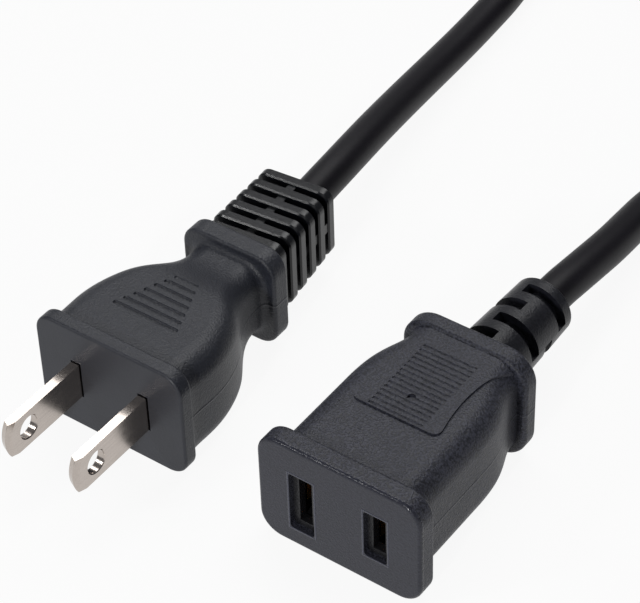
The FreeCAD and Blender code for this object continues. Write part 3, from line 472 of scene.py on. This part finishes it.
def parting_line():
    """The fine raised line where the two mould halves met, at one height all around a moulding."""
    tree, given, out = effect(
        "Parting Line",
        (
            ("Place", "NodeSocketVector", None),
            ("Line Height", "NodeSocketFloat", 0.0099),
            ("Line Width", "NodeSocketFloat", 0.0003),
        ),
        (("Height", "NodeSocketFloat"),),
    )
    waves = noise(tree, given["Place"], LINE_WAVES_PER_METRE)
    wander = maths(tree, "MULTIPLY_ADD", waves, LINE_WANDER, -LINE_WANDER / 2)
    above = maths(tree, "SUBTRACT", split(tree, given["Place"])["Z"], given["Line Height"])
    link(tree, (ridge(tree, maths(tree, "ADD", above, wander), given["Line Width"]), out["Height"]))
    return tree


def window_lip():
    """The thin lip that stands around a window in a moulding's face; its mask raises the lip and places its
    painted highlight.
    """
    tree, given, out = effect(
        "Window Lip",
        (
            ("Place", "NodeSocketVector", None),
            ("Middle X", "NodeSocketFloat", 0.0),
            ("Middle Z", "NodeSocketFloat", 0.0),
            ("Half Width", "NodeSocketFloat", 0.002),
            ("Half Height", "NodeSocketFloat", 0.005),
            ("Lip Width", "NodeSocketFloat", 0.0004),
        ),
        (("Mask", "NodeSocketFloat"),),
    )
    place = split(tree, given["Place"])

    def outside(axis, half):
        away = maths(tree, "SUBTRACT", place[axis], given[f"Middle {axis}"])
        return maths(tree, "SUBTRACT", maths(tree, "ABSOLUTE", away), given[half])

    edge = maths(tree, "MAXIMUM", outside("X", "Half Width"), outside("Z", "Half Height"))
    half_lip = maths(tree, "MULTIPLY", given["Lip Width"], 0.5)
    link(tree, (ridge(tree, maths(tree, "SUBTRACT", edge, half_lip), half_lip), out["Mask"]))
    return tree


def moulding_zones():
    """Masks along a moulding: behind its face, where its line runs, on its relief and on its rim."""
    tree, given, out = effect(
        "Moulding Zones",
        (
            ("Place", "NodeSocketVector", None),
            ("Face Y", "NodeSocketFloat", -0.017),
            ("Line Y", "NodeSocketFloat", -0.015),
            ("Relief Y", "NodeSocketFloat", 0.016),
            ("Rim Width", "NodeSocketFloat", 0.0006),
        ),
        tuple((label, "NodeSocketFloat") for label in ("Behind Face", "Line", "Relief", "Rim")),
    )
    y = split(tree, given["Place"])["Y"]

    def past(limit):
        return maths(tree, "SUBTRACT", y, given[limit])

    def behind(limit):
        return maths(tree, "DIVIDE", past(limit), ZONE_EDGE, clamp=True)

    relief = behind("Relief Y")
    link(
        tree,
        (behind("Face Y"), out["Behind Face"]),
        (maths(tree, "MULTIPLY", behind("Line Y"), maths(tree, "SUBTRACT", 1.0, relief)), out["Line"]),
        (relief, out["Relief"]),
        (ridge(tree, past("Face Y"), given["Rim Width"]), out["Rim"]),
    )
    return tree


def woven_strap():
    """Crossed threads of a narrow woven strap."""
    tree, given, out = effect(
        "Woven Strap",
        (
            ("Place", "NodeSocketVector", None),
            ("Dark Colour", "NodeSocketColor", screen(18, 18, 20)),
            ("Light Colour", "NodeSocketColor", screen(44, 44, 47)),
            ("Threads per Metre", "NodeSocketFloat", 900.0),
        ),
        (("Colour", "NodeSocketColor"), ("Height", "NodeSocketFloat")),
    )
    place = split(tree, given["Place"])
    across = maths(tree, "ADD", place["Y"], place["Z"])
    turn = maths(tree, "MULTIPLY", given["Threads per Metre"], 2 * math.pi)

    def threads(operation):
        along = maths(tree, operation, place["X"], across)
        return maths(tree, "SINE", maths(tree, "MULTIPLY", along, turn))

    crossed = maths(tree, "MULTIPLY", threads("ADD"), threads("SUBTRACT"))
    weave = maths(tree, "MULTIPLY_ADD", crossed, 0.5, 0.5)
    link(
        tree,
        (mixed_colour(tree, weave, given["Dark Colour"], given["Light Colour"]), out["Colour"]),
        (weave, out["Height"]),
    )
    return tree


def drawn_metal():
    """Rolled and plated strip: fine lines along its length, and faint scuffs."""
    tree, given, out = effect(
        "Drawn Metal",
        (
            ("Place", "NodeSocketVector", None),
            ("Dark Colour", "NodeSocketColor", screen(150, 146, 140)),
            ("Light Colour", "NodeSocketColor", screen(220, 216, 208)),
            ("Least Roughness", "NodeSocketFloat", 0.15),
            ("Most Roughness", "NodeSocketFloat", 0.4),
        ),
        (("Colour", "NodeSocketColor"), ("Roughness", "NodeSocketFloat"), ("Height", "NodeSocketFloat")),
    )
    lines = noise(tree, stretched(tree, given["Place"], DRAWN_LINES), 1.0, detail=3.0)
    scuffs = noise(tree, given["Place"], SCUFFS_PER_METRE, detail=5.0, roughness=0.7)
    tone = weighed(tree, lines, scuffs, LINES_IN_COLOUR)
    link(
        tree,
        (mixed_colour(tree, tone, given["Dark Colour"], given["Light Colour"]), out["Colour"]),
        (between(tree, scuffs, given["Least Roughness"], given["Most Roughness"]), out["Roughness"]),
        (lines, out["Height"]),
    )
    return tree


def shared_effect(name, build):
    """The named node group, built the first time that a material asks for it."""
    return bpy.data.node_groups.get(name) or build()


def place_effect(tree, name, build, **values):
    """A shared effect in a material, reading the piece's own coordinates, with its values set."""
    node = node_of(tree, "ShaderNodeGroup", node_tree=shared_effect(name, build))
    node.label = name
    for label, value in values.items():
        node.inputs[label.replace("_", " ")].default_value = value
    coordinates = tree.nodes.get("Texture Coordinate") or tree.nodes.new("ShaderNodeTexCoord")
    link(tree, (coordinates.outputs["Object"], node.inputs["Place"]))
    return node


def blank_material(name):
    """A new material, with its node tree and its Principled shader."""
    material = bpy.data.materials.new(name)
    material.use_nodes = True
    return material, material.node_tree, material.node_tree.nodes["Principled BSDF"]


def raise_surface(tree, shader, height, distance):
    """Bump the shader's normal by a height."""
    bump = node_of(tree, "ShaderNodeBump")
    bump.inputs["Distance"].default_value = distance
    bump.inputs["Strength"].default_value = 1.0
    link(tree, (height, bump.inputs["Height"]), (bump.outputs["Normal"], shader.inputs["Normal"]))


def shade(base, factor):
    """A colour made darker or lighter by a factor."""
    return (*(min(1.0, channel * factor) for channel in base[:3]), 1.0)


def show_effect(tree, shader, node, depth):
    """Let an effect set the shader's colour, its roughness and its fine relief."""
    link(
        tree,
        (node.outputs["Colour"], shader.inputs["Base Color"]),
        (node.outputs["Roughness"], shader.inputs["Roughness"]),
    )
    raise_surface(tree, shader, node.outputs["Height"], depth)


def place_skin(tree, base, skin):
    """The moulded skin around a base colour."""
    return place_effect(
        tree, "Moulded Skin", moulded_skin,
        Dark_Colour=shade(base, 1 - skin.contrast), Light_Colour=shade(base, 1 + skin.contrast),
        Grains_per_Metre=skin.grains, Least_Roughness=skin.roughness[0], Most_Roughness=skin.roughness[1],
    )


def skin_material(name, base, skin):
    """Plain moulded or extruded vinyl or plastic."""
    material, tree, shader = blank_material(name)
    shader.inputs["Specular IOR Level"].default_value = skin.gloss
    show_effect(tree, shader, place_skin(tree, base, skin), skin.depth)
    return material


def window_lips(tree, windows, behind_face):
    """Where the thin lips around the windows of a face stand, and where their painted highlight goes."""
    lips = 0.0
    for window in windows:
        lip = place_effect(
            tree, "Window Lip", window_lip,
            Middle_X=window.middle_x, Middle_Z=window.middle_z,
            Half_Width=window.width / 2, Half_Height=window.height / 2,
        )
        lips = maths(tree, "MAXIMUM", lips, lip.outputs["Mask"])
    return maths(tree, "MULTIPLY", lips, maths(tree, "SUBTRACT", 1.0, behind_face))


def moulding_material(name, base, moulding):
    """A grained moulding with a plainer face, a parting line along its sides, a painted highlight on its
    windows' lips and a darker relief.
    """
    material, tree, shader = blank_material(name)
    skin = moulding.skin
    relief = moulding.relief
    shader.inputs["Specular IOR Level"].default_value = skin.gloss
    face_skin = skin._replace(contrast=skin.contrast * FACE_GRAIN)
    relief_skin = skin._replace(contrast=skin.contrast * RELIEF_CONTRAST, roughness=relief.roughness)
    grained = place_skin(tree, base, skin).outputs
    plain = place_skin(tree, base, face_skin).outputs
    polished = place_skin(tree, shade(base, relief.shade), relief_skin).outputs
    line = place_effect(tree, "Parting Line", parting_line, Line_Height=moulding.line_height).outputs
    zone = place_effect(
        tree, "Moulding Zones", moulding_zones,
        Face_Y=moulding.face_end, Line_Y=moulding.line_start, Relief_Y=moulding.relief_start,
    ).outputs

    face_share = between(tree, zone["Behind Face"], FACE_GRAIN, 1.0)
    grain_share = maths(tree, "MULTIPLY", face_share, between(tree, zone["Relief"], 1.0, relief.grain))
    grain = maths(tree, "MULTIPLY", grained["Height"], grain_share)
    raised = maths(tree, "MULTIPLY", line["Height"], zone["Line"])
    height = maths(tree, "MULTIPLY_ADD", raised, LINE_RISE / skin.depth, grain)
    front = mixed_colour(tree, zone["Behind Face"], plain["Colour"], grained["Colour"])
    if moulding.windows:
        lips = window_lips(tree, moulding.windows, zone["Behind Face"])
        # Painted highlight: the lips are coloured lighter than the face to stand for light caught on their
        # edges; their rise is real
        lip_highlight = place_skin(tree, shade(base, LIP_HIGHLIGHT), face_skin).outputs
        height = maths(tree, "MULTIPLY_ADD", lips, LIP_RISE / skin.depth, height)
        front = mixed_colour(tree, lips, front, lip_highlight["Colour"])

    whole = mixed_colour(tree, zone["Relief"], front, polished["Colour"])
    sheen = between(tree, zone["Relief"], grained["Roughness"], polished["Roughness"])
    rim = maths(tree, "MULTIPLY", zone["Rim"], moulding.rim_polish)
    sheen = between(tree, rim, sheen, RIM_ROUGHNESS)
    link(tree, (whole, shader.inputs["Base Color"]), (sheen, shader.inputs["Roughness"]))
    raise_surface(tree, shader, height, skin.depth)
    return material


def metal_material(name, base, metal):
    """Drawn or rolled metal."""
    material, tree, shader = blank_material(name)
    shader.inputs["Metallic"].default_value = 1.0
    drawn = place_effect(
        tree, "Drawn Metal", drawn_metal,
        Dark_Colour=shade(base, 1 - metal.contrast), Light_Colour=shade(base, 1 + metal.contrast),
        Least_Roughness=metal.roughness[0], Most_Roughness=metal.roughness[1],
    )
    show_effect(tree, shader, drawn, metal.depth)
    return material


def dress(node_name, material):
    """Put a finish on a node of the frame, in its own material slot."""
    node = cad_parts[node_name]
    if not node.material_slots:
        node.data.materials.append(material)
    for material_slot in node.material_slots:
        material_slot.material = material


def grip_profile(mesh):
    """How far the grip's side walls stand from its middle: pairs of Y and half width, in order."""
    walls = {}
    for vertex in mesh.vertices:
        x, y, z = vertex.co
        away = abs(x - GRIP_MIDDLE_X)
        level = abs(z - GRIP_MIDDLE_Z)
        on_wall = away > GRIP_HALF_WIDTH - NEARLY and level < WALL_REACH
        if on_wall and GRIP_START + NEARLY < y < GRIP_END:
            walls[round(y, 6)] = away
    return [(GRIP_START, GRIP_HALF_WIDTH), *sorted(walls.items()), (GRIP_END, GRIP_HALF_WIDTH)]


def swell_at(profile, y):
    """How far the grip swells past its straight wall at a place along Y."""
    for (start, low), (end, high) in zip(profile, profile[1:]):
        if start <= y <= end:
            return low + (high - low) * (y - start) / (end - start) - GRIP_HALF_WIDTH
    return 0.0


def straighten_grip(mesh):
    """Draw the grip's sides and corners in to its straight walls. Its panel and its top stay."""
    profile = grip_profile(mesh)
    normals = [normal.vector.copy() for normal in mesh.corner_normals]
    moves = {}
    for vertex in mesh.vertices:
        x, y, _ = vertex.co
        away = abs(x - GRIP_MIDDLE_X)
        if GRIP_START - NEARLY < y < GRIP_END and away > PANEL_HALF_WIDTH:
            swell = max(0.0, swell_at(profile, y))
            to_corner = GRIP_HALF_WIDTH + swell - GRIP_CORNER - PANEL_HALF_WIDTH
            share = min(1.0, (away - PANEL_HALF_WIDTH) / to_corner)
            moves[vertex.index] = -math.copysign(swell * share, x - GRIP_MIDDLE_X)
    for corner in mesh.loops:
        normal = normals[corner.index]
        if corner.vertex_index in moves and abs(normal.y) < END_FACE_NORMAL:
            normal.y = 0.0
            normal.normalize()
    for index, move in moves.items():
        mesh.vertices[index].co.x += move
    mesh.normals_split_custom_set(normals)
    return mesh


def make_camera(scene):
    """The photograph's viewpoint."""
    camera = bpy.data.objects.new("camera", bpy.data.cameras.new("camera"))
    camera.data.lens = CAMERA_LENS
    camera.data.sensor_width = CAMERA_SENSOR
    back = CAMERA_RIGHT.cross(CAMERA_UP)
    turn = Matrix((CAMERA_RIGHT, CAMERA_UP, back)).transposed()
    camera.matrix_world = Matrix.Translation(CAMERA_PLACE) @ turn.to_4x4()
    scene.collection.objects.link(camera)
    scene.camera = camera


def make_lamp(scene, name, power, size, place):
    """A soft flat lamp that faces the lead."""
    lamp = bpy.data.lights.new(name, "AREA")
    lamp.energy = power
    lamp.shape = "RECTANGLE"
    lamp.size = size[0]
    lamp.size_y = size[1]
    holder = bpy.data.objects.new(name, lamp)
    holder.location = place
    holder.rotation_euler = (Vector(LAMP_TARGET) - Vector(place)).to_track_quat("-Z", "Y").to_euler()
    scene.collection.objects.link(holder)


def floor_material(studio):
    """Pale paper that the camera and the reflections see as white near the lead."""
    material, tree, shader = blank_material("Pale floor")
    shader.inputs["Base Color"].default_value = studio.floor
    shader.inputs["Roughness"].default_value = FLOOR_ROUGHNESS
    shader.inputs["Specular IOR Level"].default_value = 0.0
    coordinates = node_of(tree, "ShaderNodeTexCoord")
    away = node_of(tree, "ShaderNodeVectorMath", operation="LENGTH")
    near = node_of(tree, "ShaderNodeMapRange", interpolation_type="SMOOTHSTEP")
    near.inputs["From Min"].default_value = FLOOR_FADE[0]
    near.inputs["From Max"].default_value = FLOOR_FADE[1]
    near.inputs["To Min"].default_value = 1.0
    near.inputs["To Max"].default_value = 0.0
    light_path = node_of(tree, "ShaderNodeLightPath").outputs
    rays = maths(tree, "MAXIMUM", light_path["Is Camera Ray"], light_path["Is Glossy Ray"])
    rays = maths(tree, "MAXIMUM", rays, light_path["Is Transmission Ray"])
    surround = shade(studio.surround, studio.surround_light)
    glow = node_of(tree, "ShaderNodeEmission")
    glow.inputs["Strength"].default_value = 1.0
    both = node_of(tree, "ShaderNodeMixShader")
    link(
        tree,
        (coordinates.outputs["Object"], away.inputs[0]),
        (away.outputs["Value"], near.inputs["Value"]),
        (mixed_colour(tree, near.outputs["Result"], surround, WHITE), glow.inputs["Color"]),
        (maths(tree, "MULTIPLY", rays, FLOOR_WHITE), both.inputs[0]),
        (shader.outputs[0], both.inputs[1]),
        (glow.outputs[0], both.inputs[2]),
        (both.outputs[0], tree.nodes["Material Output"].inputs["Surface"]),
    )
    return material


def make_floor(scene, studio):
    """A round pale floor."""
    mesh = bpy.data.meshes.new("pale_floor")
    shape = bmesh.new()
    bmesh.ops.create_circle(shape, cap_ends=True, segments=FLOOR_CORNERS, radius=studio.floor_radius)
    shape.to_mesh(mesh)
    shape.free()
    floor = bpy.data.objects.new("pale_floor", mesh)
    mesh.materials.append(floor_material(studio))
    scene.collection.objects.link(floor)


def light_surround(scene, studio):
    """The even grey light all around."""
    world = bpy.data.worlds.new("Studio")
    world.use_nodes = True
    background = world.node_tree.nodes["Background"]
    background.inputs["Color"].default_value = studio.surround
    background.inputs["Strength"].default_value = studio.surround_light
    scene.world = world


def coil_points(sizes):
    """Control points of the coil: in along the lower layer, then out along the upper one."""
    # The spline runs inside its control points, at this share of their distance from the middle
    inside = 0.75 + 0.25 * math.cos(2 * math.pi / sizes.turn_points)
    pitch = (sizes.outer_turn - sizes.inner_turn) / sizes.layer_turns
    steps = round(2 * sizes.layer_turns * sizes.turn_points)
    points = []
    for step in range(steps + 1):
        turns = step / sizes.turn_points
        from_middle = turns - sizes.layer_turns
        at_end = step in (0, steps)
        radius = (sizes.inner_turn + pitch * abs(from_middle)) / (1.0 if at_end else inside)
        climb = min(1.0, max(0.0, 0.5 + from_middle / LAYER_CHANGE))
        height = sizes.lower_layer + (sizes.upper_layer - sizes.lower_layer) * climb
        angle = math.pi - 2 * math.pi * turns
        points.append(
            (sizes.coil_x + radius * math.cos(angle), sizes.coil_y + radius * math.sin(angle), height)
        )
    return points


def between_points(start, end, count):
    """Evenly spaced points strictly between two points."""
    start, end = Vector(start), Vector(end)
    return [tuple(start.lerp(end, step / (count + 1))) for step in range(1, count + 1)]


def cord_points(sizes):
    """The whole centreline's control points, from the plug to the connector, in metres."""
    first = [tuple(value * MM for value in point) for point in (CORD_EXIT, *ROUTE_FROM_PLUG)]
    last = [tuple(value * MM for value in point) for point in (BOOT_MOUTH, *ROUTE_FROM_CONNECTOR)]
    last.reverse()
    coil = coil_points(sizes)
    into_coil = between_points(first[-1], coil[0], STRAIGHT_POINTS)
    out_of_coil = between_points(coil[-1], last[0], STRAIGHT_POINTS)
    return [*first, *into_coil, *coil, *out_of_coil, *last]


class StageOperator(bpy.types.Operator):
    """Set up the camera, the lamps and the pale floor"""

    bl_idname = "lead.stage"
    bl_label = "Camera, Lamps and Floor"

    def execute(self, context):
        scene = context.scene
        studio = scene.lead_studio
        make_camera(scene)
        for name, setting, size, place in LAMPS:
            make_lamp(scene, name, getattr(studio, setting), size, place)
        make_floor(scene, studio)
        light_surround(scene, studio)
        scene.view_settings.view_transform = "Standard"
        return {"FINISHED"}


class CordOperator(bpy.types.Operator):
    """Lay the free cord from the plug to the connector, with its unseen length coiled"""

    bl_idname = "lead.cord"
    bl_label = "Free Cord"

    def execute(self, context):
        sizes = context.scene.lead_cord
        curve = bpy.data.curves.new("lead_cord", "CURVE")
        curve.dimensions = "3D"
        curve.bevel_depth = sizes.diameter / 2
        curve.bevel_resolution = ROUNDING_STEPS
        curve.resolution_u = CORD_STEPS
        curve.use_fill_caps = True
        points = cord_points(sizes)
        spline = curve.splines.new("NURBS")
        spline.points.add(len(points) - 1)
        for control, point in zip(spline.points, points):
            control.co = (*point, 1.0)
        spline.order_u = SPLINE_ORDER
        spline.use_endpoint_u = True
        jacket = skin_material("Cord jacket", context.scene.lead_finishes.cord_jacket, CORD_SKIN)
        curve.materials.append(jacket)
        cord = bpy.data.objects.new("lead_cord", curve)
        context.scene.collection.objects.link(cord)
        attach(cord, "root")
        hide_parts("lead_from_plug", "lead_coil", "lead_to_connector")
        on_cord = [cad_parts[name] for name in (*CONNECTOR_NODES, "coil_tie")]
        on_cord.append(bpy.data.objects["connector_moulding"])
        return {"FINISHED"}


class ConnectorOperator(bpy.types.Operator):
    """Make the connector's moulding, with its grip straight between the flange and the shoulder"""

    bl_idname = "lead.connector"
    bl_label = "Connector Moulding"

    def execute(self, context):
        shape = straighten_grip(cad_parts["connector_body"].data.copy())
        moulding = bpy.data.objects.new("connector_moulding", shape)
        context.scene.collection.objects.link(moulding)
        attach(moulding, "root")
        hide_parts("connector_body")
        base = context.scene.lead_finishes.connector_moulding
        shape.materials.clear()
        shape.materials.append(moulding_material("Connector moulding", base, CONNECTOR))
        return {"FINISHED"}


class PlugOperator(bpy.types.Operator):
    """Finish the plug's black moulding"""

    bl_idname = "lead.plug"
    bl_label = "Plug Moulding"

    def execute(self, context):
        base = context.scene.lead_finishes.plug_moulding
        dress("plug_body", moulding_material("Plug moulding", base, PLUG))
        return {"FINISHED"}


class BladesOperator(bpy.types.Operator):
    """Finish the two nickel-plated blades"""

    bl_idname = "lead.blades"
    bl_label = "Blades"

    def execute(self, context):
        finishes = context.scene.lead_finishes
        plating = metal_material("Blade plating", finishes.blade_plating, PLATING)
        dress("plug_blade_left", plating)
        dress("plug_blade_right", plating)
        return {"FINISHED"}


class InnerPlasticsOperator(bpy.types.Operator):
    """Finish the stiff inner plastics and the cord ends held in the mouldings"""

    bl_idname = "lead.inner_plastics"
    bl_label = "Inner Plastics"

    def execute(self, context):
        finishes = context.scene.lead_finishes
        stiff = skin_material("Inner plastic", finishes.inner_plastic, INNER_SKIN)
        dress("plug_inner_bridge", stiff)
        dress("connector_inner_housing", stiff)
        held = skin_material("Held cord jacket", finishes.cord_jacket, HELD_CORD_SKIN)
        dress("lead_end_in_plug", held)
        dress("lead_end_in_connector", held)
        return {"FINISHED"}


class ConductorsOperator(bpy.types.Operator):
    """Finish the cores, the stripped strands and the connector's spring clips"""

    bl_idname = "lead.conductors"
    bl_label = "Cores, Strands and Clips"

    def execute(self, context):
        finishes = context.scene.lead_finishes
        dark = skin_material("Dark core", finishes.core_dark, DARK_CORE_SKIN)
        light = skin_material("Light core", finishes.core_light, LIGHT_CORE_SKIN)
        strands = metal_material("Copper strands", finishes.copper, STRANDS)
        brass = metal_material("Contact brass", finishes.contact_brass, BRASS)
        for end in ("plug", "connector"):
            dress(f"{end}_core_left", dark)
            dress(f"{end}_core_right", light)
            dress(f"{end}_wire_left", strands)
            dress(f"{end}_wire_right", strands)
        dress("connector_clip_left", brass)
        dress("connector_clip_right", brass)
        return {"FINISHED"}


class TieOperator(bpy.types.Operator):
    """Finish the strap that holds the coil"""

    bl_idname = "lead.tie"
    bl_label = "Coil Tie"

    def execute(self, context):
        base = context.scene.lead_finishes.tie_strap
        material, tree, shader = blank_material("Tie strap")
        weave = place_effect(
            tree, "Woven Strap", woven_strap,
            Dark_Colour=shade(base, 1 - TIE_CONTRAST), Light_Colour=shade(base, 1 + TIE_CONTRAST),
        )
        shader.inputs["Roughness"].default_value = TIE_ROUGHNESS
        link(tree, (weave.outputs["Colour"], shader.inputs["Base Color"]))
        raise_surface(tree, shader, weave.outputs["Height"], THREAD_RISE)
        dress("coil_tie", material)
        return {"FINISHED"}


OPERATORS = (
    StageOperator,
    ConnectorOperator,
    CordOperator,
    PlugOperator,
    BladesOperator,
    InnerPlasticsOperator,
    ConductorsOperator,
    TieOperator,
)


class LeadPanel(bpy.types.Panel):
    """The lead's sizes, colours, studio and steps in the sidebar"""

    bl_idname = "VIEW3D_PT_extension_lead"
    bl_label = "Extension Lead"
    bl_space_type = "VIEW_3D"
    bl_region_type = "UI"
    bl_category = "Extension Lead"

    def draw(self, context):
        scene = context.scene
        for settings in (scene.lead_cord, scene.lead_finishes, scene.lead_studio):
            box = self.layout.box()
            for name in settings.__annotations__:
                box.prop(settings, name)
        for operator in OPERATORS:
            self.layout.operator(operator.bl_idname)


SETTINGS = {"lead_cord": CordSizes, "lead_finishes": FinishColours, "lead_studio": StudioSettings}


def register():
    """Register the settings, the operators and the panel."""
    for name, settings in SETTINGS.items():
        bpy.utils.register_class(settings)
        setattr(bpy.types.Scene, name, PointerProperty(type=settings))
    for operator in OPERATORS:
        bpy.utils.register_class(operator)
    bpy.utils.register_class(LeadPanel)


def unregister():
    """Take them all out again."""
    bpy.utils.unregister_class(LeadPanel)
    for operator in reversed(OPERATORS):
        bpy.utils.unregister_class(operator)
    for name, settings in reversed(SETTINGS.items()):
        delattr(bpy.types.Scene, name)
        bpy.utils.unregister_class(settings)


def main():
    """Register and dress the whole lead."""
    register()
    bpy.ops.lead.stage()
    bpy.ops.lead.connector()
    bpy.ops.lead.cord()
    bpy.ops.lead.plug()
    bpy.ops.lead.blades()
    bpy.ops.lead.inner_plastics()
    bpy.ops.lead.conductors()
    bpy.ops.lead.tie()


if __name__ == "__main__":
    main()
